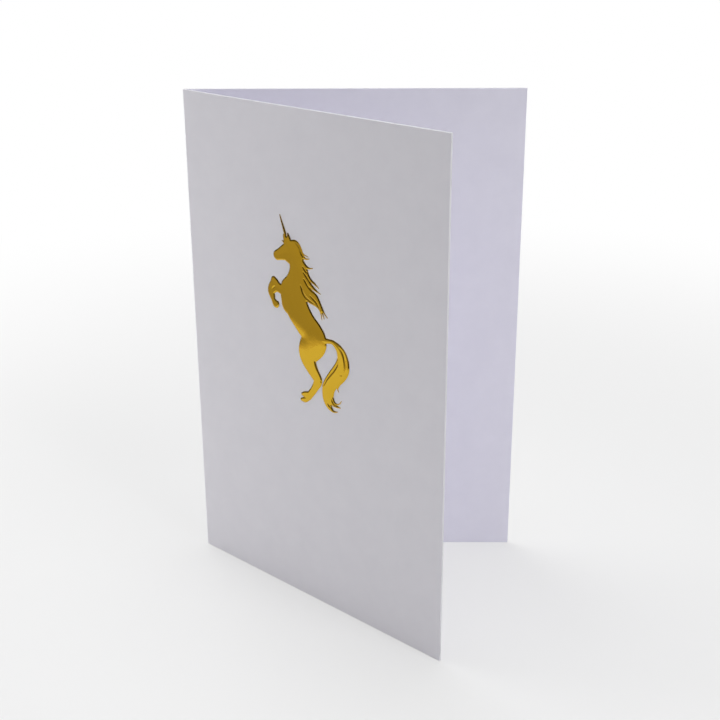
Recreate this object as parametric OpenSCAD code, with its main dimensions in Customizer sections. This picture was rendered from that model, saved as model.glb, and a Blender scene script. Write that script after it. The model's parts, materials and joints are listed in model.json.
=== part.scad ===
// Folded greeting card, standing open, with an embossed gold-foil unicorn on its front.
// The front panel lies along X and faces -Y, the fold is at its -X end, and Z runs up the fold.

/* [Card] */
// Width of each panel, from the fold to its cut edge
panel_w = 101.6; // [80:0.1:160]
// Height of each panel
panel_h = 152.4; // [120:0.1:220]
// Thickness of the board
board_t = 0.6; // [0.4:0.05:1]
// Angle at which the card stands open
opening = 42; // [25:1:80]

/* [Fold] */
// Inside radius of the fold
fold_r = 0.3; // [0.2:0.05:0.8]
// How far the scored bead stands up from the inside of the fold
bead_h = 0.15; // [0.05:0.05:0.3]

/* [Figure] */
// Height of the figure, from the hind hooves to the tip of the horn
figure_h = 55.5; // [30:0.1:70]
// Height of the figure's middle above the middle of the panel
figure_rise = 17.5; // [-20:0.5:20]
// How far the figure is pressed out of the board
emboss_h = 0.3; // [0.1:0.05:0.35]
// Width of the sloping edge round the body
edge_w = 0.6; // [0.3:0.05:1]
// Half-width at which a lock of hair comes up to the full height
lock_w = 1.5; // [0.8:0.1:3]
// Depth of the lines pressed back into it between the locks
groove_d = 0.2; // [0.05:0.05:0.25]
// Thickness of the foil
foil_t = 0.05; // [0.03:0.01:0.1]
// How far the foil laps past the foot of the embossing
foil_lap = 0.05; // [0.02:0.01:0.08]

/* [Hidden] */

outer_r = fold_r + board_t;
cut_x = panel_w - outer_r;
// Middle of the sheet's box, measured from the centre of the fold
middle_x = panel_w / 2 - outer_r;
middle_y = (cut_x * sin(opening) + outer_r * cos(opening) - outer_r - emboss_h - foil_t) / 2;
// How far a cutter runs past the face that it leaves by
past = 0.1;

// The figure is drawn in millimetres at drawn_h, from the near hind toe, as beads [x, y, half-width]
drawn_h = 55.5;
drawn_middle = [3.55, 27.75];
drawn_scale = figure_h / drawn_h;
// Steps that a stroke takes from one bead to the next, on the body, the mane and the tail
body_steps = 2;
mane_steps = 1;
tail_steps = 2;

// Neck, barrel, haunch and hind leg, from the poll down to the fetlock
trunk = [
    [-0.6, 43.7, 3.0], [-0.4, 40.0, 3.0], [-0.8, 36.7, 3.8], [-1.5, 33.0, 4.8], [-0.9, 29.3, 4.9],
    [2.2, 25.3, 4.5], [5.5, 22.2, 4.55], [5.9, 20.2, 4.85], [3.55, 16.6, 3.95], [3.4, 14.2, 3.05],
    [4.8, 11.7, 2.35], [6.4, 9.75, 1.95], [7.2, 8.5, 1.7], [6.2, 6.3, 1.3], [4.6, 4.0, 1.15], [3.2, 2.4, 1.2]
];
// The chest in front of the shoulder
breast = [[-2.0, 38.8, 1.7], [-3.1, 36.4, 2.1], [-4.4, 33.6, 3.0], [-3.5, 29.6, 3.6]];
// Forehead and muzzle
head = [[-0.9, 45.4, 3.05], [-2.6, 45.6, 2.9], [-4.8, 44.8, 2.4], [-6.9, 43.9, 1.8], [-8.45, 43.25, 1.5]];
// The jaw, down to the throat
cheek = [[-4.6, 44.6, 2.3], [-1.8, 43.0, 2.0]];
// The near ear, and the far ear behind the root of the horn
ears = [
    [[-3.4, 48.5, 1.0], [-3.75, 50.5, 0.25]],
    [[-4.4, 47.4, 1.1], [-5.1, 49.6, 0.68]]
];
// The raised foreleg, and the tucked one with its hoof turned in
forelegs = [
    [
        [-6.0, 33.0, 1.5], [-8.2, 33.8, 1.08], [-9.3, 34.75, 1.05], [-10.15, 35.65, 0.95],
        [-10.5, 34.4, 1.12], [-11.3, 33.2, 1.1], [-11.6, 32.2, 1.15]
    ],
    [
        [-6.4, 32.8, 1.4], [-8.6, 32.95, 0.95], [-10.0, 32.7, 1.1], [-11.3, 31.85, 1.42],
        [-11.0, 30.5, 1.17], [-10.6, 29.4, 0.9], [-9.6, 28.2, 1.22], [-8.9, 28.55, 0.75]
    ]
];
// The near hoof, and the far one behind it
hind_hooves = [
    [[3.2, 2.4, 1.2], [1.7, 1.0, 0.95], [0.3, 0.6, 0.5]],
    [[3.05, 2.85, 1.1], [1.6, 2.75, 0.75], [0.6, 2.5, 0.42]]
];
// The horn, and the tuft of hair on the forehead
horn = [[-4.85, 50.2, 0.5], [-5.55, 51.9, 0.38], [-6.2, 53.4, 0.28], [-6.6, 54.6, 0.19], [-6.85, 55.5, 0.1]];
forelock = [[-5.05, 47.45, 0.5], [-5.6, 47.65, 0.22], [-6.25, 48.1, 0.1]];
// Locks of the mane, from the crest down to the withers
mane = [
    [
        [-0.9, 47.75, 1.45], [0.1, 47.3, 1.1], [0.9, 46.5, 0.75],
        [1.6, 45.9, 0.45], [2.6, 45.45, 0.2], [4.2, 45.1, 0.1]
    ],
    [[0.4, 46.0, 1.4], [1.7, 45.05, 0.65], [3.2, 44.4, 0.28], [4.6, 44.65, 0.1]],
    [[0.4, 43.6, 1.8], [2.0, 42.6, 1.0], [3.3, 42.1, 0.55], [4.4, 41.85, 0.3], [5.9, 42.1, 0.1]],
    [
        [1.0, 42.2, 1.8], [3.0, 40.9, 0.95], [3.95, 39.6, 0.6], [4.75, 38.75, 0.5],
        [5.6, 38.15, 0.42], [6.5, 37.75, 0.34], [7.3, 37.25, 0.22], [8.2, 36.65, 0.1]
    ],
    [
        [1.2, 41.0, 1.8], [3.1, 38.7, 0.85], [4.4, 37.4, 0.75],
        [5.6, 36.5, 0.58], [6.8, 35.9, 0.36], [8.8, 35.15, 0.1]
    ],
    [
        [1.0, 38.6, 1.8], [2.9, 36.4, 1.1], [4.9, 34.9, 1.0], [6.8, 33.9, 0.9],
        [8.0, 32.4, 0.8], [9.1, 31.1, 0.48], [10.0, 29.9, 0.26], [11.4, 28.6, 0.1]
    ],
    [
        [1.4, 36.2, 1.5], [3.4, 34.4, 1.2], [5.4, 33.2, 1.0], [7.2, 32.1, 0.9],
        [8.6, 30.7, 0.5], [9.5, 29.4, 0.24], [10.1, 28.0, 0.1]
    ],
    [
        [1.4, 35.2, 0.6], [2.4, 33.2, 0.7], [4.2, 32.2, 0.6], [6.4, 31.7, 0.6],
        [8.0, 30.9, 0.42], [8.8, 29.5, 0.22], [9.2, 27.6, 0.1]
    ]
];
// The dock, the two long locks of the tail and its loose curls
tail = [
    [
        [9.8, 21.4, 0.9], [12.25, 21.82, 0.67], [13.8, 21.65, 0.8], [15.6, 20.6, 1.2],
        [16.9, 19.0, 1.7], [17.5, 17.0, 2.1]
    ],
    [
        [14.0, 21.4, 0.7], [15.9, 19.9, 1.2], [16.6, 17.6, 1.6], [16.2, 15.6, 1.8], [14.9, 13.5, 1.85],
        [13.2, 11.3, 1.8], [11.7, 9.2, 1.75], [10.7, 7.3, 1.7], [10.4, 5.4, 1.55], [10.6, 3.7, 1.5],
        [11.4, 2.2, 1.35], [12.8, 1.1, 0.87], [14.0, 0.72, 0.52], [15.2, 0.6, 0.1]
    ],
    [
        [16.4, 20.3, 0.8], [17.7, 18.2, 1.4], [18.0, 16.2, 1.7], [17.6, 14.3, 1.9], [16.4, 12.5, 1.95],
        [14.7, 10.7, 1.9], [13.2, 8.9, 1.7], [12.3, 7.2, 1.55], [12.0, 5.5, 1.45], [12.2, 4.1, 1.3],
        [12.95, 3.13, 0.94], [14.45, 2.43, 0.47], [16.1, 2.3, 0.1]
    ],
    [[12.8, 4.7, 0.8], [14.05, 3.38, 0.44], [15.4, 3.3, 0.28], [16.5, 4.6, 0.1]],
    [[15.6, 10.4, 1.0], [14.95, 8.25, 0.42], [15.5, 7.0, 0.1]]
];
// Lines pressed back between the forelegs and between locks of the mane
grooves = [
    [[-9.55, 33.65, 0.2], [-10.1, 33.2, 0.35], [-10.75, 32.55, 0.2]],
    [[2.55, 38.4, 0.25], [4.0, 36.6, 0.42], [5.2, 35.7, 0.42], [7.4, 35.0, 0.25]],
    [[1.6, 35.2, 0.38], [2.9, 33.2, 0.5], [4.2, 32.5, 0.42], [6.6, 31.8, 0.2]]
];
body_strokes = concat([trunk, breast, head, cheek], ears, forelegs, hind_hooves);
fine_strokes = concat([horn, forelock], mane);

// A point on the smooth curve through beads a, b, c and d, at the share t of the way from b to c
function curve(a, b, c, d, t) =
    (2 * b + (c - a) * t + (2 * a - 5 * b + 4 * c - d) * t ^ 2 + (3 * b - a - 3 * c + d) * t ^ 3) / 2;

// A stroke's beads at their real size, with that many steps to each span and the ends carried straight on
function smoothed(beads, steps) =
    let (
        last = len(beads) - 1,
        before = 2 * beads[0] - beads[1],
        after = 2 * beads[last] - beads[last - 1],
        run = drawn_scale * concat([before], beads, [after])
    )
    [
        for (i = [0 : last - 1], s = [0 : steps - 1])
            curve(run[i], run[i + 1], run[i + 2], run[i + 3], s / steps),
        run[last + 1]
    ];

// Sides of a bead: few on a thin one
function sides(r) = r > 2 ? 16 : r > 0.5 ? 12 : 8;

// One bead of the embossed board: a cone that starts below the face, inside the edge of the foil
module board_bead(b, run) {
    foot = b.z - min(foil_lap, b.z / 2);
    translate([b.x, b.y, -past])
        cylinder(h = foot / run + past, r1 = foot + past * run, r2 = 0, $fn = sides(b.z));
}

// The same bead with the foil on it: the foil's cut edge, then the cone
module foil_bead(b, run) {
    translate([b.x, b.y])
        cylinder(h = foil_t, r = b.z, $fn = sides(b.z));
    translate([b.x, b.y, foil_t])
        cylinder(h = b.z / run, r1 = b.z, r2 = 0, $fn = sides(b.z));
}

// Slopes of a given width rise to the height of the embossing
module stroke(beads, steps, slope_w, foiled) {
    line = smoothed(beads, steps);
    for (i = [0 : len(line) - 2])
        hull()
            for (b = [line[i], line[i + 1]])
                if (foiled) foil_bead(b, slope_w / emboss_h);
                else board_bead(b, slope_w / emboss_h);
}

// V-shaped cuts down from the top of the figure
module pressed_lines(top) {
    for (s = grooves)
        for (i = [0 : len(s) - 2])
            hull()
                for (b = drawn_scale * [s[i], s[i + 1]])
                    translate([b.x, b.y, top - groove_d])
                        cylinder(h = 2 * groove_d, r1 = 0, r2 = 2 * b.z, $fn = sides(b.z));
}

// The raised figure, drawn flat with its heights along Z and levelled off at the top
module raised_figure(foiled) {
    top = foiled ? emboss_h + foil_t : emboss_h;
    difference() {
        intersection() {
            union() {
                for (s = body_strokes) stroke(s, body_steps, edge_w, foiled);
                for (s = fine_strokes) stroke(s, mane_steps, lock_w, foiled);
                for (s = tail) stroke(s, tail_steps, lock_w, foiled);
            }
            translate([-figure_h, -figure_h, -2 * past])
                cube([3 * figure_h, 3 * figure_h, top + 2 * past]);
        }
        pressed_lines(top);
    }
}

// Lays the drawn figure on the front of the front panel, or that far into the board
module on_front(depth = 0) {
    translate([middle_x, depth - outer_r, panel_h / 2 + figure_rise])
        rotate([90, 0, 0])
            translate(-drawn_scale * [drawn_middle.x, drawn_middle.y, 0])
                children();
}

module panel_section() {
    translate([0, -outer_r])
        square([cut_x, board_t]);
}

// The half of the plane on the far side of the fold from the front panel
module past_fold() {
    translate([-2 * outer_r, -2 * outer_r])
        square([2 * outer_r, 4 * outer_r]);
}

// The board's turn round the fold, with the bead that scoring raises inside it
module fold_section() {
    intersection() {
        circle(r = outer_r, $fn = 48);
        past_fold();
        rotate(opening) past_fold();
    }
    circle(r = fold_r + bead_h, $fn = 24);
}

module folded_sheet() {
    linear_extrude(panel_h) {
        panel_section();
        fold_section();
        rotate(opening) mirror([0, 1]) panel_section();
    }
}

module card() {
    color("whitesmoke")
        translate([-middle_x, -middle_y, 0])
            difference() {
                union() {
                    folded_sheet();
                    on_front() raised_figure(foiled = false);
                }
                on_front(board_t) raised_figure(foiled = false);
            }
}

module foil_unicorn() {
    color("goldenrod")
        translate([-middle_x, -middle_y, 0])
            on_front()
                difference() {
                    raised_figure(foiled = true);
                    raised_figure(foiled = false);
                }
}

card();
foil_unicorn();
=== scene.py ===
# %% [markdown]
# A greeting card that stands half open
#
# The object is one sheet of white board, scored and folded once, with a rearing unicorn on its front
# that was hot-stamped in gold foil and pressed out of the board in the same blow. The CAD model already
# has the sheet, the fold and the raised figure in their true places. This lesson gives both pieces
# finer surfaces, their materials, a white table, soft light and the photograph's view.

# %% Load the measured frame
import json
import math

import bpy
import numpy as np
from mathutils import Matrix, Vector

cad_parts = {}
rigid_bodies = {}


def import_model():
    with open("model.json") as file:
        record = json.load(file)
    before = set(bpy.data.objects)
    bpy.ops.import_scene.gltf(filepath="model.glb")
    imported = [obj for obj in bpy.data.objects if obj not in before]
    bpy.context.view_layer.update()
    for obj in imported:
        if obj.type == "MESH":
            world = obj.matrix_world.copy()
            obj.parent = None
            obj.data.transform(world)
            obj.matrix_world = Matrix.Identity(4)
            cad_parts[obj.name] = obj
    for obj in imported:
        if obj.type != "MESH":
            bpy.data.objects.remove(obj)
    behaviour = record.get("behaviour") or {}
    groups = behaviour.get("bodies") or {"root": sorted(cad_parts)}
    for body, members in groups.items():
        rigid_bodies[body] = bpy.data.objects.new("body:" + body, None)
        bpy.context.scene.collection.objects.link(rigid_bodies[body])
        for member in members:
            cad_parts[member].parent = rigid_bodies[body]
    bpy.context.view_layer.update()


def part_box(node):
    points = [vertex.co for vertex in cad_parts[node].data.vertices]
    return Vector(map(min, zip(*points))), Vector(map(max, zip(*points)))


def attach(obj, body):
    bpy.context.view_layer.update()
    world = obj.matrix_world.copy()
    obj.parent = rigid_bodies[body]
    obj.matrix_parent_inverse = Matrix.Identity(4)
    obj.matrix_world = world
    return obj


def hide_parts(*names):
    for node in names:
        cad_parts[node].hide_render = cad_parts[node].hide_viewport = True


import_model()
MM = 0.001
card_low, card_high = (np.array(corner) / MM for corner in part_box("card"))
foil_low, foil_high = (np.array(corner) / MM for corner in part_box("foil_unicorn"))
panel_w, panel_h = card_high[0] - card_low[0], card_high[2] - card_low[2]
print(f"card: panels {panel_w:.1f} x {panel_h:.1f} mm; foil figure "
      f"{foil_high[0] - foil_low[0]:.1f} x {foil_high[2] - foil_low[2]:.1f} mm")

# %% [markdown]
# The figure as beads on strings
#
# A stamping die can be drawn as a picture, but a picture would have to come from a file. Here each limb
# and each lock of hair is a stroke: a short list of beads, each with a place and a half-width in
# millimetres, measured from the near hind toe. A smooth curve runs through the beads of a stroke, so a
# few hundred numbers give the whole animal, and the same curve gives the widths between them.

# %% The strokes of the body
trunk = [(-0.6, 43.7, 3.0), (-0.4, 40.0, 3.0), (-0.8, 36.7, 3.8), (-1.5, 33.0, 4.8), (-0.9, 29.3, 4.9),
         (2.2, 25.3, 4.5), (5.5, 22.2, 4.55), (5.9, 20.2, 4.85), (3.55, 16.6, 3.95),
         (3.4, 14.2, 3.05), (4.8, 11.7, 2.35), (6.4, 9.75, 1.95), (7.2, 8.5, 1.7), (6.2, 6.3, 1.3),
         (4.6, 4.0, 1.15), (3.2, 2.4, 1.2)]
breast = [(-2.0, 38.8, 1.7), (-3.1, 36.4, 2.1), (-4.4, 33.6, 3.0), (-3.5, 29.6, 3.6)]
head = [(-0.9, 45.4, 3.05), (-2.6, 45.6, 2.9), (-4.8, 44.8, 2.4), (-6.9, 43.9, 1.8), (-8.45, 43.25, 1.5)]
cheek = [(-4.6, 44.6, 2.3), (-1.8, 43.0, 2.0)]
near_ear = [(-3.4, 48.5, 1.0), (-3.75, 50.5, 0.25)]
far_ear = [(-4.4, 47.4, 1.1), (-5.1, 49.6, 0.68)]
raised_foreleg = [(-6.0, 33.0, 1.5), (-8.1, 34.0, 1.1), (-9.2, 34.95, 1.08), (-10.15, 35.65, 0.95),
                  (-10.5, 34.4, 1.12), (-11.3, 33.2, 1.1), (-11.6, 32.2, 1.15)]
tucked_foreleg = [(-6.4, 32.8, 1.4), (-8.6, 32.95, 0.95), (-10.0, 32.7, 1.1), (-11.3, 31.85, 1.42),
                  (-11.0, 30.5, 1.17), (-10.6, 29.4, 0.9), (-9.6, 28.2, 1.22), (-8.9, 28.55, 0.75)]
near_hoof = [(3.2, 2.4, 1.2), (1.7, 1.0, 0.95), (0.3, 0.6, 0.5)]
far_hoof = [(3.05, 2.85, 1.1), (1.6, 2.65, 0.85), (0.65, 2.45, 0.5)]
body_strokes = [trunk, breast, head, cheek, near_ear, far_ear, raised_foreleg,
                tucked_foreleg, near_hoof, far_hoof]
print(f"body: {len(body_strokes)} strokes, {sum(map(len, body_strokes))} beads")

# %% The strokes of the horn and the hair
horn = [(-4.85, 50.2, 0.5), (-5.5, 51.9, 0.4), (-6.1, 53.4, 0.32), (-6.55, 54.6, 0.25), (-6.85, 55.5, 0.15)]
forelock = [(-5.05, 47.45, 0.55), (-5.6, 47.75, 0.3), (-6.25, 48.1, 0.1)]
mane = [
    [(-2.4, 47.9, 1.0), (-0.9, 47.7, 1.45), (0.1, 47.3, 1.2), (0.9, 46.5, 0.9),
     (1.6, 45.9, 0.5), (2.6, 45.45, 0.2), (4.2, 45.1, 0.1)],
    [(0.4, 46.0, 1.4), (1.7, 45.05, 0.65), (3.2, 44.4, 0.28), (4.6, 44.65, 0.1)],
    [(0.4, 43.6, 1.8), (2.0, 42.6, 1.0), (3.3, 42.1, 0.55), (4.4, 41.85, 0.3), (5.9, 42.1, 0.1)],
    [(1.0, 42.2, 1.8), (3.0, 40.9, 0.95), (3.95, 39.6, 0.6), (4.75, 38.75, 0.5),
     (5.6, 38.15, 0.42), (6.5, 37.75, 0.34), (7.3, 37.25, 0.22), (8.2, 36.65, 0.1)],
    [(1.2, 41.0, 1.8), (3.1, 38.7, 0.85), (4.4, 37.4, 0.75),
     (5.6, 36.5, 0.58), (6.8, 35.9, 0.36), (8.8, 35.15, 0.1)],
    [(1.0, 38.6, 1.8), (2.9, 36.4, 1.1), (4.9, 34.9, 1.0), (6.8, 33.9, 0.9),
     (8.0, 32.4, 0.8), (9.1, 31.1, 0.48), (10.0, 29.9, 0.26), (11.4, 28.6, 0.1)],
    [(1.4, 36.2, 1.5), (3.4, 34.4, 1.2), (5.4, 33.2, 1.0), (7.2, 32.1, 0.9),
     (8.6, 30.7, 0.5), (9.5, 29.4, 0.24), (10.1, 28.0, 0.1)],
    [(1.4, 35.2, 0.6), (2.4, 33.2, 0.7), (4.2, 32.2, 0.6), (6.4, 31.7, 0.6),
     (8.0, 30.9, 0.42), (8.8, 29.5, 0.22), (9.2, 27.6, 0.1)],
]
tail = [
    [(9.8, 21.4, 0.9), (12.25, 21.82, 0.67), (13.8, 21.65, 0.8),
     (15.6, 20.6, 1.2), (16.9, 19.0, 1.7), (17.5, 17.0, 2.1)],
    [(14.0, 21.4, 0.7), (15.9, 19.9, 1.2), (16.6, 17.6, 1.6), (16.2, 15.6, 1.8), (14.9, 13.5, 1.85),
     (13.2, 11.3, 1.8), (11.7, 9.2, 1.75), (10.7, 7.3, 1.7), (10.4, 5.4, 1.55), (10.6, 3.7, 1.5),
     (11.3, 2.1, 1.25), (12.3, 0.95, 0.7), (13.3, 0.5, 0.4), (14.2, 0.55, 0.24), (15.0, 0.8, 0.1)],
    [(16.4, 20.3, 0.8), (17.7, 18.2, 1.4), (18.0, 16.2, 1.7), (17.6, 14.3, 1.9), (16.4, 12.5, 1.95),
     (14.7, 10.7, 1.9), (13.2, 8.9, 1.7), (12.3, 7.2, 1.55), (12.0, 5.5, 1.45), (12.2, 4.1, 1.3),
     (12.95, 3.13, 0.94), (14.45, 2.43, 0.47), (16.1, 2.3, 0.1)],
    [(12.9, 4.5, 0.6), (13.7, 3.5, 0.3), (14.7, 3.15, 0.2), (15.7, 3.5, 0.15), (16.5, 4.6, 0.1)],
    [(15.6, 10.4, 1.0), (15.15, 8.6, 0.35), (15.05, 7.8, 0.2), (15.5, 7.1, 0.1)],
]
hair_strokes = [horn, forelock, *mane, *tail]
print(f"hair: {len(hair_strokes)} strokes, {sum(map(len, hair_strokes))} beads")

# %% Grooves between the locks, the forelegs and the hooves
mane_lines = [
    [(1.9, 43.9, 0.15), (2.5, 43.4, 0.3)],
    [(2.2, 41.95, 0.25), (2.8, 41.3, 0.38), (3.5, 40.7, 0.4), (4.1, 40.75, 0.2)],
    [(2.4, 40.35, 0.25), (3.3, 39.5, 0.38), (4.3, 38.55, 0.42), (5.4, 37.5, 0.42), (6.4, 36.85, 0.3)],
    [(2.55, 38.4, 0.25), (3.1, 37.7, 0.38), (4.0, 36.6, 0.42),
     (5.2, 35.7, 0.42), (6.4, 35.2, 0.35), (7.4, 35.0, 0.25)],
    [(1.2, 36.2, 0.2), (1.6, 35.2, 0.38), (2.1, 34.1, 0.45), (2.9, 33.2, 0.5),
     (4.2, 32.5, 0.42), (5.6, 32.0, 0.3), (6.6, 31.8, 0.1)],
    [(4.8, 34.0, 0.2), (6.1, 33.2, 0.38), (7.3, 32.4, 0.42), (8.0, 31.4, 0.35), (8.6, 30.3, 0.15)],
]
tail_lines = [
    [(9.7, 7.7, 0.15), (10.05, 8.5, 0.3), (10.85, 10.0, 0.42), (12.1, 11.6, 0.5),
     (13.4, 13.1, 0.5), (14.5, 14.6, 0.45), (15.25, 16.1, 0.35), (15.4, 17.6, 0.15)],
    [(16.2, 12.6, 0.1), (17.0, 12.8, 0.16)],
    [(11.2, 2.6, 0.15), (11.7, 2.0, 0.35), (12.3, 1.6, 0.3)],
    [(12.9, 4.4, 0.2), (13.2, 3.5, 0.35), (13.8, 2.9, 0.38), (14.6, 2.75, 0.3), (15.3, 2.9, 0.15)],
]
outer_lock_lines = [
    [(-0.9, 48.45, 0.03), (0.2, 47.8, 0.25), (0.85, 47.05, 0.34), (1.3, 46.25, 0.36),
     (1.75, 45.5, 0.35), (2.35, 45.0, 0.22), (3.0, 44.8, 0.03)],
    [(15.4, 20.9, 0.03), (16.4, 20.4, 0.16), (17.2, 19.55, 0.26), (17.75, 18.3, 0.26), (18.0, 16.9, 0.2),
     (18.0, 15.6, 0.13), (17.8, 14.4, 0.06), (17.6, 13.6, 0.01)],
]
leg_lines = [
    [(-9.55, 33.65, 0.2), (-10.1, 33.2, 0.35), (-10.75, 32.55, 0.2)],
    [(0.3, 1.5, 0.2), (1.2, 1.62, 0.35), (2.3, 1.75, 0.15)],
    [(8.55, 8.75, 0.2), (8.85, 8.25, 0.35)],
    [(6.25, 14.3, 0.3), (6.9, 12.8, 0.5), (7.95, 11.1, 0.4), (8.8, 9.8, 0.2)],
]
engraved = [*mane_lines, *tail_lines, *leg_lines]
print(f"engraved: {len(engraved)} grooves")

# %% A grid over the figure, and how deep each of its points lies inside the strokes
CELL = 0.118
MARGIN = 0.8
drawn_x = np.arange(-12.6 - MARGIN, 19.8 + MARGIN, CELL)
drawn_z = np.arange(-0.6 - MARGIN, 55.5 + MARGIN, CELL)
grid_x, grid_z = np.meshgrid(drawn_x, drawn_z, indexing="ij")


def smooth_beads(beads, steps=6):
    """The Catmull-Rom curve through the beads: a cubic between each pair, whose slope at a bead is half
    the way from the bead before it to the bead after it. The ends are carried straight on."""
    beads = np.array(beads)
    run = np.vstack([2 * beads[0] - beads[1], beads, 2 * beads[-1] - beads[-2]])
    t = (np.arange(steps) / steps)[None, :, None]
    a, b, c, d = (run[k:len(run) - 3 + k, None, :] for k in range(4))
    spans = (2 * b + (c - a) * t + (2 * a - 5 * b + 4 * c - d) * t**2 + (3 * b - a - 3 * c + d) * t**3) / 2
    return np.vstack([spans.reshape(-1, 3), beads[-1]])


def depth_inside(strokes):
    """How far each grid point lies inside the nearest stroke: the half-width at the closest place on
    the stroke's line, less the distance to that place. It is negative outside."""
    depth = np.full(grid_x.shape, -9.0)
    for beads in map(smooth_beads, strokes):
        for (ax, az, ar), (bx, bz, br) in zip(beads[:-1], beads[1:]):
            run_x, run_z = bx - ax, bz - az
            share = ((grid_x - ax) * run_x + (grid_z - az) * run_z) / (run_x**2 + run_z**2)
            share = np.clip(share, 0, 1)
            away = np.hypot(grid_x - ax - share * run_x, grid_z - az - share * run_z)
            np.maximum(depth, ar + share * (br - ar) - away, out=depth)
    return depth


outline_depth = depth_inside(body_strokes + hair_strokes)
print(f"figure: {grid_x.size} grid points, {np.count_nonzero(outline_depth > 0) * CELL**2:.0f} mm2 of foil")

# %% [markdown]
# How the die pressed it
#
# The figure stands up from the board like a coin's relief. Its edge is a steep, narrow shoulder, then
# the surface rises in a slight crown that catches the light along the belly. Lines are engraved between
# the locks of the mane and the tail. One flank of a line is straight and the other is hollow, and the
# outermost lock of the crest and of the tail lies low. All of it comes from distances: how far a point
# is from the outline, and how far from a line. A subdivision surface on the CAD mesh would round its
# facets too, but it would also melt the thin locks.

# %% Heights of the embossing
EMBOSS_H = 0.30
FOIL_T = 0.05
SHOULDER_W = 0.4
CROWN_W = 4.0
CROWN_SHARE = 0.34
GROOVE_W = 0.35
GROOVE_SHARE = 0.9
# Flanks of a groove, in times its half-width
STRAIGHT_FLANK = 1.15
HOLLOW_FLANK = 1.2
LOW_LOCK_FLANK = 14


def crossings(depth):
    """Where the outline, depth zero, cuts the grid's lines: the straight-line share between the two
    points."""
    found = []
    for axis in (0, 1):
        first = [slice(None)] * 2
        second = [slice(None)] * 2
        first[axis], second[axis] = slice(None, -1), slice(1, None)
        a, b = depth[tuple(first)], depth[tuple(second)]
        cut = (a > 0) != (b > 0)
        share = a[cut] / (a[cut] - b[cut])
        ends = [(g[tuple(first)][cut], g[tuple(second)][cut]) for g in (grid_x, grid_z)]
        found.append(np.stack([p + share * (q - p) for p, q in ends], axis=1))
    return np.vstack(found)


def distance_to_outline(depth):
    """The straight distance from each inside point to the nearest crossing of the outline, worked out
    in blocks of points, so that the table of distances stays small."""
    edge = crossings(depth)
    inside = np.argwhere(depth > 0)
    points = np.stack([drawn_x[inside[:, 0]], drawn_z[inside[:, 1]]], axis=1)
    nearest = [np.sqrt(((block[:, None, :] - edge[None]) ** 2).sum(2).min(1))
               for block in np.array_split(points, 40)]
    distance = np.zeros(depth.shape)
    distance[tuple(inside.T)] = np.concatenate(nearest)
    return distance


def shoulder(distance, width):
    """A soft step, 3 s^2 - 2 s^3 of the share s of the width: level at the outline and level again
    further in."""
    share = np.clip(distance / width, 0, 1)
    return share**2 * (3 - 2 * share)


def crown(distance, width):
    """A quarter of a parabola: its slope fades evenly from the outline to nothing at the given
    width."""
    return 1 - (1 - np.clip(distance / width, 0, 1)) ** 2


def groove_share(grooves, left_flank):
    """How deep a groove is at each grid point, from 0 to 1. Its bottom follows the beads. The flank to
    the right of the way that it is drawn rises straight, and the one to the left as a parabola, steep
    at the bottom and level at the top. A very wide left flank leaves the lock on that side low."""
    share = np.zeros(grid_x.shape)
    for beads in map(smooth_beads, grooves):
        for (ax, az, ar), (bx, bz, br) in zip(beads[:-1], beads[1:]):
            run_x, run_z = bx - ax, bz - az
            along = ((grid_x - ax) * run_x + (grid_z - az) * run_z) / (run_x**2 + run_z**2)
            along = np.clip(along, 0, 1)
            off_x, off_z = grid_x - ax - along * run_x, grid_z - az - along * run_z
            width = ar + along * (br - ar)
            on_left = run_x * off_z - run_z * off_x > 0
            flank = width * np.where(on_left, left_flank, STRAIGHT_FLANK)
            rise = np.clip(1 - np.hypot(off_x, off_z) / flank, 0, 1) ** np.where(on_left, 2, 1)
            deep = rise * np.minimum(width / GROOVE_W, 1)
            np.maximum(share, deep, out=share)
    return share


inward_distance = distance_to_outline(outline_depth)
body_rise = 1 - CROWN_SHARE + CROWN_SHARE * crown(inward_distance, CROWN_W)
lowered = np.maximum(groove_share(engraved, HOLLOW_FLANK),
                     groove_share(outer_lock_lines, LOW_LOCK_FLANK))
relief = EMBOSS_H * shoulder(inward_distance, SHOULDER_W) * body_rise * (1 - GROOVE_SHARE * lowered)
print(f"embossing: up to {relief.max():.2f} mm high")

# %% [markdown]
# Places on the card
#
# The fold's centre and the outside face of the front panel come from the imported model's boxes, so the
# new sheet sits exactly where the solid is. Two numbers of its own give the figure's place.

# %% Where the fold and the figure are
BOARD_T = 0.6
FOLD_R = 0.3
BEAD_R = 0.45
OPENING = math.radians(42)
OUTER_R = FOLD_R + BOARD_T
front_y = card_low[1] + EMBOSS_H
fold_centre = np.array([card_low[0] + OUTER_R, front_y + OUTER_R])
cut_length = panel_w - OUTER_R
figure_x = -3.55
figure_z = 65.95
print(f"fold centre at {fold_centre.round(2)} mm, front face at y = {front_y:.2f} mm")


def height_at(x, z):
    """The relief at any place on the front panel, by straight-line mixing of the four grid points round
    it."""
    i = np.clip((x - figure_x - drawn_x[0]) / CELL, 0, len(drawn_x) - 2)
    j = np.clip((z - figure_z - drawn_z[0]) / CELL, 0, len(drawn_z) - 2)
    i0, j0 = i.astype(int), j.astype(int)
    u, v = i - i0, j - j0
    low = relief[i0, j0] * (1 - u) + relief[i0 + 1, j0] * u
    high = relief[i0, j0 + 1] * (1 - u) + relief[i0 + 1, j0 + 1] * u
    return low * (1 - v) + high * v


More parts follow.
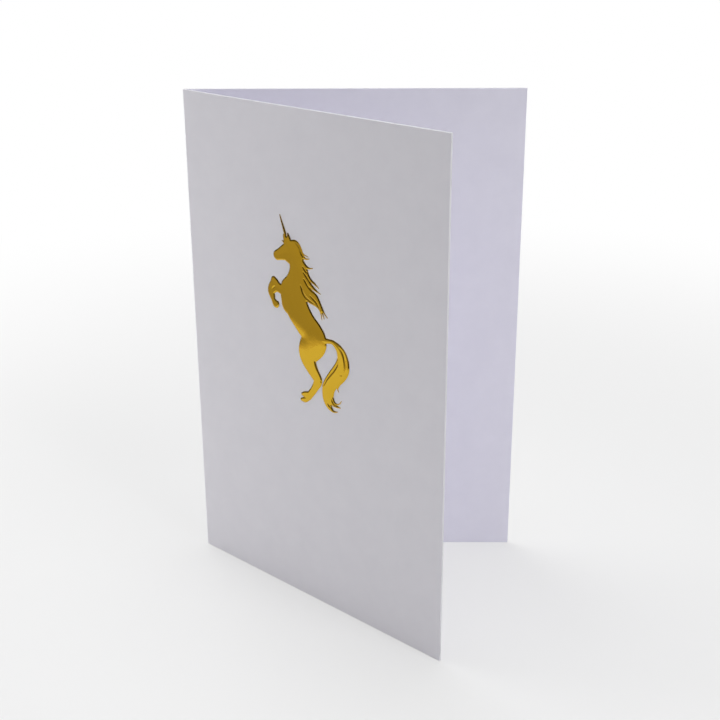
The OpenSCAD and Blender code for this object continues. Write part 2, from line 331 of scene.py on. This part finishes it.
# %% One function that makes a mesh piece of the card
def add_piece(name, vertices, faces, finishes, finish_of_face=None):
    """Puts vertices, given in millimetres, and faces into a mesh at the origin, and links it to the
    scene."""
    mesh = bpy.data.meshes.new(name)
    mesh.from_pydata((vertices * MM).tolist(), [], faces)
    for finish in finishes:
        mesh.materials.append(finish)
    if finish_of_face is not None:
        mesh.polygons.foreach_set("material_index", finish_of_face)
    mesh.shade_smooth()
    mesh.update()
    piece = bpy.data.objects.new(name, mesh)
    bpy.context.scene.collection.objects.link(piece)
    return piece


def enclosed_volume(piece):
    """A sixth of the sum of a . (b x c) over the triangles: positive where the faces point outwards."""
    piece.data.calc_loop_triangles()
    corners = np.zeros(len(piece.data.loop_triangles) * 3, int)
    piece.data.loop_triangles.foreach_get("vertices", corners)
    places = np.zeros(len(piece.data.vertices) * 3)
    piece.data.vertices.foreach_get("co", places)
    a, b, c = (places.reshape(-1, 3) / MM)[corners.reshape(-1, 3)].transpose(1, 0, 2)
    return (a * np.cross(b, c)).sum() / 6, len(a)


# %% [markdown]
# A helper for the finishes
#
# Every finish below is a small graph of shader nodes. One function adds a node, sets its properties,
# and fills each input with a plain value or a link. Colours are written as sRGB hex values, as a
# painter's swatch would be, and are turned linear, because light adds up in linear numbers.

# %% Colours and nodes
def linear(hex_colour):
    """sRGB hex to linear RGBA: a straight part near black, then the 2.4 power curve of the standard."""
    srgb = np.array([int(hex_colour[k:k + 2], 16) for k in (1, 3, 5)]) / 255
    light = np.where(srgb <= 0.04045, srgb / 12.92, ((srgb + 0.055) / 1.055) ** 2.4)
    return (*light, 1.0)


def add_node(tree, kind, settings=None, inputs=None):
    """Adds a node. An input that is another node's output is linked, and any other value is set on the
    socket."""
    node = tree.nodes.new(kind)
    for name, value in (settings or {}).items():
        setattr(node, name, value)
    for name, value in (inputs or {}).items():
        socket = node.inputs[name]
        if isinstance(value, bpy.types.NodeSocket):
            tree.links.new(value, socket)
        else:
            socket.default_value = value
    return node


def new_finish(name):
    """An empty material and its node tree."""
    finish = bpy.data.materials.new(name)
    finish.use_nodes = True
    finish.node_tree.nodes.clear()
    return finish, finish.node_tree


def per_metre(millimetres):
    """A noise texture's scale for features of that size, on coordinates in metres."""
    return 1 / (millimetres * MM)


# %% [markdown]
# White card board
#
# The sheet is bleached wood-free board, rolled smooth but not coated. The eye sees a matt, slightly
# cool white, a faint cloudiness where the fibres lie thicker and thinner, and a fine tooth that breaks
# up any gloss. The tooth is about a tenth of a millimetre on the real board; here it is drawn at a
# third of a millimetre, so that it shows. The cut edge is painted a little darker than the faces:
# this is painted shade, for the small shadows between its open fibres.

# %% The board's three finishes
def board_finish(name, light_hex, dark_hex, tooth_mm, tooth_depth_mm, roughness):
    """Matt board: cloudy white, with a tooth made of noise at one grain size."""
    finish, tree = new_finish(name)
    place = add_node(tree, "ShaderNodeTexCoord").outputs["Object"]
    cloud = add_node(tree, "ShaderNodeTexNoise", inputs={
        "Vector": place, "Scale": per_metre(7), "Detail": 3.0, "Roughness": 0.6})
    colour = add_node(tree, "ShaderNodeMix", {"data_type": "RGBA"}, {
        "Factor": cloud.outputs["Fac"], "A": linear(dark_hex), "B": linear(light_hex)})
    tooth = add_node(tree, "ShaderNodeTexNoise", inputs={
        "Vector": place, "Scale": per_metre(tooth_mm), "Detail": 2.0, "Roughness": 0.55})
    bump = add_node(tree, "ShaderNodeBump", inputs={
        "Height": tooth.outputs["Fac"], "Strength": 1.0, "Distance": tooth_depth_mm * MM})
    shader = add_node(tree, "ShaderNodeBsdfPrincipled", inputs={
        "Base Color": colour.outputs["Result"], "Roughness": roughness, "IOR": 1.5,
        "Specular IOR Level": 0.3, "Normal": bump.outputs["Normal"]})
    add_node(tree, "ShaderNodeOutputMaterial", inputs={"Surface": shader.outputs["BSDF"]})
    return finish


smooth_side = board_finish("board_outside_calendered", "#F2F0F6", "#EBE9F0", 0.35, 0.006, 0.75)
inner_side = board_finish("board_inside_uncoated", "#F0EEFA", "#E8E6F3", 0.35, 0.008, 0.85)
# The cut edge's colours are darker than the faces': painted shade for the small shadows between its fibres
cut_finish_painted_shade = board_finish("board_edge_painted_shade", "#E6E5E8", "#DDDCE1", 0.2, 0.02, 0.9)
print("finishes:", smooth_side.name, inner_side.name, cut_finish_painted_shade.name)

# %% [markdown]
# The folded sheet
#
# The board is a sheet of even thickness, so it is made as two grids of points, its outside and its
# inside, that share their parameters: one runs along the sheet, from the front panel's cut edge round
# the fold to the back panel's cut edge, and the other runs up. Strips along the four borders close it.
# Extruding the CAD outline would give the same panels, but a grid can also be pressed out by the die:
# under the figure both grids move forward by the relief.

# %% Stations along the sheet and up it
EDGE_R = 0.08
FINE = 0.3
LONG_STEPS = 10
FOLD_POINTS = 25
BACK_STEPS = 24
UNDER_FOIL = 0.02
round_angles = np.radians([0, 45, 90])
edge_run = np.append(EDGE_R * (1 - np.cos(round_angles)), 3 * EDGE_R)
edge_inset = np.append(EDGE_R * (1 - np.sin(round_angles)), 0)


def stations(start, end, fine_from, fine_to):
    """Distances from start to end: rounded edges at both ends, fine steps under the figure, and long
    ones elsewhere."""
    before = np.linspace(start + 3 * EDGE_R, fine_from, LONG_STEPS)[1:-1]
    fine = np.linspace(fine_from, fine_to, round((fine_to - fine_from) / FINE), endpoint=False)
    after = np.linspace(fine_to, end - 3 * EDGE_R, LONG_STEPS)[:-1]
    places = np.concatenate([start + edge_run, before, fine, after, end - edge_run[::-1]])
    inset = np.concatenate([edge_inset, np.zeros(len(before) + len(fine) + len(after)), edge_inset[::-1]])
    return places, inset


up, up_inset = stations(0, panel_h, foil_low[2] - 1, foil_high[2] + 1)
along, along_inset = stations(fold_centre[0], card_high[0], foil_low[0] - 1, foil_high[0] + 1)
clear_of_bead = fold_centre[0] + math.sqrt(BEAD_R**2 - FOLD_R**2)
edge_count = len(edge_run)
front_x, front_inset = along[edge_count:][::-1], along_inset[edge_count:][::-1]
front_x = np.append(front_x[front_x > clear_of_bead], clear_of_bead)
front_inset = np.append(front_inset[:len(front_x) - 1], 0)
print(f"front panel: {len(front_x)} stations across, {len(up)} up")


# %% The section of the sheet, outside and inside
def arc_points(angle, radius):
    """Points on a circle round the fold's centre: the radius times cosine and sine of each angle."""
    return radius * np.stack([np.cos(angle), np.sin(angle)], axis=1)


def folded_section():
    """Two lines of points that run together: straight along the front panel, round the fold and along
    the back panel. The outside turns on an arc of the outer radius; the inside goes over the bead that
    the scoring rule raised."""
    outer_turn = np.linspace(0, 1, FOLD_POINTS)
    inner_turn = np.linspace(0, 1, FOLD_POINTS + 2)[1:-1]
    outer_angle = np.radians(270) - outer_turn * (math.pi - OPENING)
    bead_reach = math.asin(FOLD_R / BEAD_R)
    inner_angle = -bead_reach + inner_turn * (OPENING + 2 * bead_reach)
    back = np.linspace(clear_of_bead - fold_centre[0], cut_length - 3 * EDGE_R, BACK_STEPS)
    back = np.concatenate([back, cut_length - edge_run[:-1][::-1]])
    along_back = np.array([math.cos(OPENING), math.sin(OPENING)])
    off_back = np.array([-math.sin(OPENING), math.cos(OPENING)])
    front_line = front_x[:, None] * [1, 0] - fold_centre * [1, 0]
    back_line = back[:, None] * along_back
    outer = np.vstack([front_line + [0, -OUTER_R], arc_points(outer_angle, OUTER_R),
                       back_line + OUTER_R * off_back])
    inner = np.vstack([front_line + [0, -FOLD_R], arc_points(inner_angle, BEAD_R),
                       back_line + FOLD_R * off_back])
    inset = np.concatenate([front_inset, np.zeros(FOLD_POINTS + len(back) - 3), edge_inset[:-1][::-1]])
    return outer + fold_centre, inner + fold_centre, inset


outer_line, inner_line, line_inset = folded_section()
inward = (inner_line - outer_line) / np.linalg.norm(inner_line - outer_line, axis=1, keepdims=True)
print(f"section: {len(outer_line)} pairs of points")


# %% The closed sheet
def sheet_grids():
    """Outside and inside points: the section carried up Z, drawn together at rounded edges, and pressed
    out under the figure. Under the foil the board's outside stays a hair lower than the foil, by the
    least relief nearby."""
    inset = np.maximum(line_inset[:, None], up_inset[None, :])[..., None]
    flat = np.ones((1, len(up), 1))
    outer = (outer_line[:, None, :] + inset * inward[:, None, :]) * flat
    inner = (inner_line[:, None, :] - inset * inward[:, None, :]) * flat
    on_front = np.zeros((len(outer_line), 1))
    on_front[:len(front_x)] = 1
    x, z = outer_line[:, :1] * np.ones((1, len(up))), up[None, :] * np.ones((len(outer_line), 1))
    near = np.stack([height_at(x + FINE * i, z + FINE * j) for i in (-1, 0, 1) for j in (-1, 0, 1)])
    outer[..., 1] -= on_front * np.maximum(near.min(0) - UNDER_FOIL, 0)
    inner[..., 1] -= on_front * near.mean(0)
    return [np.dstack([grid, z]) for grid in (outer, inner)]


def quads(index):
    """The four-sided faces of a grid of point numbers, turning from the first parameter to the
    second."""
    ring = [index[:-1, :-1], index[1:, :-1], index[1:, 1:], index[:-1, 1:]]
    return np.stack(ring, axis=-1).reshape(-1, 4)


outside, inside = sheet_grids()
outer_index = np.arange(outside[..., 0].size).reshape(outside.shape[:2])
inner_index = outer_index + outer_index.size
borders = [np.stack(pair) for pair in (
    (outer_index[0], inner_index[0]), (inner_index[-1], outer_index[-1]),
    (inner_index[:, 0], outer_index[:, 0]), (outer_index[:, -1], inner_index[:, -1]))]
sides = [quads(outer_index)[:, ::-1], quads(inner_index), *[quads(border) for border in borders]]
side_finish = np.repeat([0, 1, 2, 2, 2, 2], [len(side) for side in sides])
board = add_piece("card_board", np.vstack([outside.reshape(-1, 3), inside.reshape(-1, 3)]),
                  np.vstack(sides).tolist(), [smooth_side, inner_side, cut_finish_painted_shade], side_finish)
volume, triangles = enclosed_volume(board)
print(f"card_board: {triangles} triangles, {volume / 1000:.2f} cm3")
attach(board, "root")
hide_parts("card")

# %% [markdown]
# Hot-stamped gold foil
#
# The foil is a film of aluminium a few hundredths of a micron thick under a yellow lacquer, pressed on
# with a heated die. It has the smooth shine of a metal, coloured by the lacquer, and a very slight
# unevenness where the board's fibres show through. That unevenness is about half a millimetre across
# and only a micron or so deep; here it is drawn nearly a millimetre across and a few microns deep, so
# that it shows.

# %% The foil's finish
gold, tree = new_finish("hot_stamped_gold_foil")
place = add_node(tree, "ShaderNodeTexCoord").outputs["Object"]
fibres = add_node(tree, "ShaderNodeTexNoise", inputs={
    "Vector": place, "Scale": per_metre(0.9), "Detail": 2.0, "Roughness": 0.5})
fibre_bump = add_node(tree, "ShaderNodeBump", inputs={
    "Height": fibres.outputs["Fac"], "Strength": 1.0, "Distance": 0.004 * MM})
wear = add_node(tree, "ShaderNodeTexNoise", inputs={
    "Vector": place, "Scale": per_metre(4), "Detail": 4.0, "Roughness": 0.6})
gloss = add_node(tree, "ShaderNodeMapRange", inputs={
    "Value": wear.outputs["Fac"], "From Min": 0.3, "From Max": 0.7, "To Min": 0.05, "To Max": 0.075})
lacquer = add_node(tree, "ShaderNodeMix", {"data_type": "RGBA"}, {
    "Factor": wear.outputs["Fac"], "A": linear("#CEA62A"), "B": linear("#D6AE34")})
metal = add_node(tree, "ShaderNodeBsdfPrincipled", inputs={
    "Base Color": lacquer.outputs["Result"], "Metallic": 1.0, "Roughness": gloss.outputs["Result"],
    "Normal": fibre_bump.outputs["Normal"]})
add_node(tree, "ShaderNodeOutputMaterial", inputs={"Surface": metal.outputs["BSDF"]})
print("finish:", gold.name)

# %% [markdown]
# Cutting the foil to its outline
#
# The foil's surface is the relief seen as a grid of heights, but its edge must follow the drawn outline
# and not the grid's steps. Marching squares does that: a cell that the outline crosses keeps its inside
# corners and gets new points where the outline cuts its sides. A Boolean cut would do the same on a
# dense mesh, more slowly.

# %% The foil's faces
def outlined_cells(depth):
    """Walks each cell's ring of corner, side, corner, side and so on, and keeps the corners that lie
    inside and the sides that the outline cuts. Returns the point places, how many are whole corners,
    and the faces by point count."""
    inside = depth > 0
    corner = np.full(depth.shape, -1)
    corner[inside] = np.arange(np.count_nonzero(inside))
    places = [np.stack([grid_x[inside], grid_z[inside]], axis=1), crossings(depth)]
    cut_x, cut_z = inside[:-1] != inside[1:], inside[:, :-1] != inside[:, 1:]
    side_x, side_z = np.full(cut_x.shape, -1), np.full(cut_z.shape, -1)
    side_x[cut_x] = len(places[0]) + np.arange(np.count_nonzero(cut_x))
    side_z[cut_z] = len(places[0]) + np.count_nonzero(cut_x) + np.arange(np.count_nonzero(cut_z))
    ring = np.stack([corner[:-1, :-1], side_x[:, :-1], corner[1:, :-1], side_z[1:],
                     corner[1:, 1:], side_x[:, 1:], corner[:-1, 1:], side_z[:-1]], axis=-1).reshape(-1, 8)
    kept = ring >= 0
    count = kept.sum(1)
    faces = [ring[count == k][kept[count == k]].reshape(-1, k) for k in range(3, 7)]
    return np.vstack(places), len(places[0]), faces


flat_places, whole, cells = outlined_cells(outline_depth)
rise = np.zeros(len(flat_places))
rise[:whole] = relief[outline_depth > 0]
print(f"foil: {len(flat_places)} points, {sum(map(len, cells))} cells")

# %% The foil as a closed film
x, z = flat_places[:, 0] + figure_x, flat_places[:, 1] + figure_z
film_top = np.stack([x, front_y - rise - FOIL_T, z], axis=1)
film_back = np.stack([x, front_y - rise, z], axis=1)
steps = np.vstack([np.stack([cell, np.roll(cell, -1, axis=1)], axis=-1).reshape(-1, 2) for cell in cells])
rim = steps[(steps >= whole).all(1)]
rim_faces = np.stack([rim[:, 1], rim[:, 0], rim[:, 0] + len(x), rim[:, 1] + len(x)], axis=1)
film_faces = [face for cell in cells for face in cell.tolist()]
film_faces += [face for cell in cells for face in (cell[:, ::-1] + len(x)).tolist()]
film_faces += rim_faces.tolist()
foil = add_piece("foil_figure", np.vstack([film_top, film_back]), film_faces, [gold])
foil.data.set_sharp_from_angle(angle=math.radians(50))
volume, triangles = enclosed_volume(foil)
print(f"foil_figure: {triangles} triangles, {volume:.1f} mm3")
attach(foil, "root")
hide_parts("foil_unicorn")

# %% [markdown]
# The white table and what the foil sees
#
# Gold foil has hardly any colour of its own: it shows what is in front of it. The card stands on white
# paper that ends about a hand's length before it, with one corner cut off, and the floor and the room
# beyond are dim, which is why the foil is bright low down and darker above. The dim floor and the dim
# room are surfaces that only reflections see, so the background stays white from all sides. The table
# is a pale grey that takes the card's shadow, mixed with plain white for the rays that show it, and the
# share of white grows away from the card.

# %% The table
def flat_sheet(name, corners, z, finish):
    """A level sheet with the given corners, in metres, counterclockwise as seen from above."""
    mesh = bpy.data.meshes.new(name)
    mesh.from_pydata([(x, y, z) for x, y in corners], [], [range(len(corners))])
    mesh.materials.append(finish)
    sheet = bpy.data.objects.new(name, mesh)
    bpy.context.scene.collection.objects.link(sheet)
    return sheet


def seen_directly(tree):
    """1 for the rays that show the table itself: camera, glossy and transmission rays. Others only
    light the card."""
    path = add_node(tree, "ShaderNodeLightPath").outputs
    pair = add_node(tree, "ShaderNodeMath", {"operation": "ADD"}, {
        0: path["Is Camera Ray"], 1: path["Is Glossy Ray"]})
    return add_node(tree, "ShaderNodeMath", {"operation": "ADD", "use_clamp": True}, {
        0: pair.outputs[0], 1: path["Is Transmission Ray"]}).outputs[0]


white_paper, tree = new_finish("white_table_paper")
place = add_node(tree, "ShaderNodeTexCoord").outputs["Object"]
radius = add_node(tree, "ShaderNodeVectorMath", {"operation": "LENGTH"}, {0: place}).outputs["Value"]
paper = add_node(tree, "ShaderNodeBsdfDiffuse", inputs={"Color": linear("#DDDDDD")}).outputs["BSDF"]
white = add_node(tree, "ShaderNodeEmission", inputs={
    "Color": linear("#FFFFFF"), "Strength": 1.0}).outputs["Emission"]
level = add_node(tree, "ShaderNodeMapRange", {"interpolation_type": "SMOOTHSTEP"}, {
    "Value": radius, "From Min": 0.12, "From Max": 0.45, "To Min": 0.42, "To Max": 1.0}).outputs["Result"]
share = add_node(tree, "ShaderNodeMath", {"operation": "MULTIPLY"}, {
    0: level, 1: seen_directly(tree)}).outputs[0]
mix = add_node(tree, "ShaderNodeMixShader", inputs={0: share, 1: paper, 2: white}).outputs["Shader"]
add_node(tree, "ShaderNodeOutputMaterial", inputs={"Surface": mix})
TABLE_REACH = 3
table_corners = [(-TABLE_REACH, -TABLE_REACH), (TABLE_REACH, -TABLE_REACH),
                 (TABLE_REACH, TABLE_REACH), (-TABLE_REACH, TABLE_REACH)]
table = flat_sheet("white_table", table_corners, 0, white_paper)
print("table:", table.name, "with", white_paper.name)

# %% The dim room round the table, for reflections only
def room_dome(radius):
    """Half a sphere over the table: a ring of points for each height above the horizon, with a small
    hole at the top."""
    around = np.linspace(0, 2 * math.pi, 49)[:, None]
    above = np.linspace(0, 0.48 * math.pi, 17)[None, :]
    reach, height = np.cos(above), 0 * around + np.sin(above)
    return radius * np.stack([np.cos(around) * reach, np.sin(around) * reach, height], axis=-1)


dim_grey, tree = new_finish("dim_room")
place = add_node(tree, "ShaderNodeTexCoord").outputs["Object"]
axes = add_node(tree, "ShaderNodeSeparateXYZ", inputs={"Vector": place}).outputs
forward = add_node(tree, "ShaderNodeMath", {"operation": "MULTIPLY"}, {0: axes["Y"], 1: -1.0}).outputs[0]
bearing = add_node(tree, "ShaderNodeMath", {"operation": "DIVIDE"}, {0: axes["X"], 1: forward}).outputs[0]
to_right = add_node(tree, "ShaderNodeMapRange", inputs={
    "Value": bearing, "From Min": -0.45, "From Max": 0.1, "To Min": 0.52, "To Max": 0.08}).outputs["Result"]
to_left = add_node(tree, "ShaderNodeMapRange", inputs={
    "Value": bearing, "From Min": -3.0, "From Max": -1.6, "To Min": 0.25, "To Max": 1.0}).outputs["Result"]
sideways = add_node(tree, "ShaderNodeMath", {"operation": "MULTIPLY"}, {0: to_right, 1: to_left}).outputs[0]
upwards = add_node(tree, "ShaderNodeMapRange", inputs={
    "Value": axes["Z"], "From Min": 0.0, "From Max": 0.4, "To Min": 1.0, "To Max": 0.2}).outputs["Result"]
outwards = add_node(tree, "ShaderNodeMapRange", inputs={
    "Value": forward, "From Min": 0.19, "From Max": 0.34, "To Min": 0.9, "To Max": 1.04}).outputs["Result"]
nearer = add_node(tree, "ShaderNodeMath", {"operation": "MULTIPLY"}, {0: upwards, 1: outwards}).outputs[0]
# Where the white paper ends before the card and to its left, in metres; a slanted cut takes one corner
PAPER_FRONT = 0.21
PAPER_SIDE = 0.27
CORNER_SLOPE = 0.72
CORNER_AT = 0.3
past_front = add_node(tree, "ShaderNodeMath", {"operation": "SUBTRACT"}, {
    0: forward, 1: PAPER_FRONT}).outputs[0]
across = add_node(tree, "ShaderNodeMath", {"operation": "MULTIPLY_ADD"}, {
    0: axes["X"], 1: -CORNER_SLOPE, 2: forward}).outputs[0]
past_corner = add_node(tree, "ShaderNodeMath", {"operation": "SUBTRACT"}, {
    0: across, 1: CORNER_AT}).outputs[0]
past_edge = add_node(tree, "ShaderNodeMath", {"operation": "MAXIMUM"}, {
    0: past_front, 1: past_corner}).outputs[0]
fading = add_node(tree, "ShaderNodeMapRange", inputs={
    "Value": past_edge, "From Min": 0.0, "From Max": 0.02, "To Min": 1.9, "To Max": 1.0}).outputs["Result"]
dimmer = add_node(tree, "ShaderNodeMath", {"operation": "MULTIPLY"}, {0: nearer, 1: fading}).outputs[0]
level = add_node(tree, "ShaderNodeMath", {"operation": "MULTIPLY"}, {0: sideways, 1: dimmer}).outputs[0]
glow = add_node(tree, "ShaderNodeEmission", inputs={
    "Color": linear("#FFF6EA"), "Strength": level}).outputs["Emission"]
add_node(tree, "ShaderNodeOutputMaterial", inputs={"Surface": glow})
ROOM_R = 1.5
room_points = room_dome(ROOM_R)
room_index = np.arange(room_points[..., 0].size).reshape(room_points.shape[:2])
room = add_piece("dim_room_dome", room_points.reshape(-1, 3) / MM, quads(room_index).tolist(), [dim_grey])
corner_x = (PAPER_FRONT - CORNER_AT) / CORNER_SLOPE
side_y = CORNER_SLOPE * PAPER_SIDE - CORNER_AT
paper_edge = [(ROOM_R, -PAPER_FRONT), (corner_x, -PAPER_FRONT),
              (-PAPER_SIDE, side_y), (-PAPER_SIDE, ROOM_R)]
room_edge = [(-ROOM_R, ROOM_R), (-ROOM_R, -ROOM_R), (ROOM_R, -ROOM_R)]
dim_floor = flat_sheet("dim_floor", [*room_edge, *paper_edge], 1 * MM, dim_grey)
for surround in (room, dim_floor):
    surround.visible_camera = False
    surround.visible_diffuse = False
    surround.visible_transmission = False
    surround.visible_shadow = False
print("for reflections only:", room.name, dim_floor.name)

# %% [markdown]
# Soft studio light
#
# A broad softbox overhead, a smaller one high on the left and one on the right give the panels their
# even tones. A small one low on the front left makes the front panel a little brighter towards the
# fold. Level surfaces render about as their colours are written, and the upright panels a little
# darker, as in the photograph. The low lamp is kept out of reflections, where it would show as a spot
# on the foil. A bare sky of even light would be simpler, but it would leave the panels flat.

# %% The light
world = bpy.data.worlds.new("white_studio")
bpy.context.scene.world = world
world.use_nodes = True
tree = world.node_tree
tree.nodes.clear()
soft_fill = add_node(tree, "ShaderNodeBackground", inputs={
    "Color": linear("#FFFFFF"), "Strength": 0.16}).outputs[0]
white_back = add_node(tree, "ShaderNodeBackground", inputs={
    "Color": linear("#FFFFFF"), "Strength": 1.0}).outputs[0]
mix = add_node(tree, "ShaderNodeMixShader", inputs={
    0: seen_directly(tree), 1: soft_fill, 2: white_back}).outputs[0]
add_node(tree, "ShaderNodeOutputWorld", inputs={"Surface": mix})


def add_softbox(name, place, aim, size, watts):
    """A round, white area lamp, turned so that it faces a point. Places and size in metres."""
    lamp = bpy.data.lights.new(name, "AREA")
    lamp.shape = "DISK"
    lamp.size = size
    lamp.energy = watts
    box = bpy.data.objects.new(name, lamp)
    box.location = place
    box.rotation_euler = (Vector(aim) - Vector(place)).to_track_quat("-Z", "Y").to_euler()
    bpy.context.scene.collection.objects.link(box)
    return box


CARD_MIDDLE = (0, 0, 0.07)
overhead = add_softbox("overhead_softbox", (-0.05, 0.1, 1.3), CARD_MIDDLE, 1.0, 9.6)
high_left = add_softbox("high_left_softbox", (-0.6, 0.1, 1.1), CARD_MIDDLE, 0.6, 3.3)
low_left = add_softbox("low_left_softbox", (-0.5, -0.26, 0.15), CARD_MIDDLE, 0.3, 1.22)
right_side = add_softbox("right_softbox", (0.9, 0.0, 0.45), CARD_MIDDLE, 0.5, 3.65)
low_left.visible_glossy = False
print("lamps:", overhead.name, high_left.name, low_left.name, right_side.name)

# %% [markdown]
# The photograph's view
#
# The camera's place and lens were worked out from the six corners of the card in the photograph: a
# little to the right of the front panel, looking down at about 21 degrees, with a lens a little longer
# than normal.

# %% The camera
lens_data = bpy.data.cameras.new("photo_view")
lens_data.lens = 61.73
lens_data.sensor_width = 36
camera = bpy.data.objects.new("photo_view", lens_data)
turn_left = Matrix.Rotation(math.radians(42.63), 4, "Z")
look_down = Matrix.Rotation(math.radians(90) - math.radians(21.36), 4, "X")
roll = Matrix.Rotation(math.radians(-0.27), 4, "Z")
camera.matrix_world = Matrix.Translation((0.2371, -0.2699, 0.2104)) @ turn_left @ look_down @ roll
bpy.context.scene.collection.objects.link(camera)
bpy.context.scene.camera = camera
bpy.context.scene.view_settings.view_transform = "Standard"
print("camera:", camera.name, lens_data.lens, "mm")
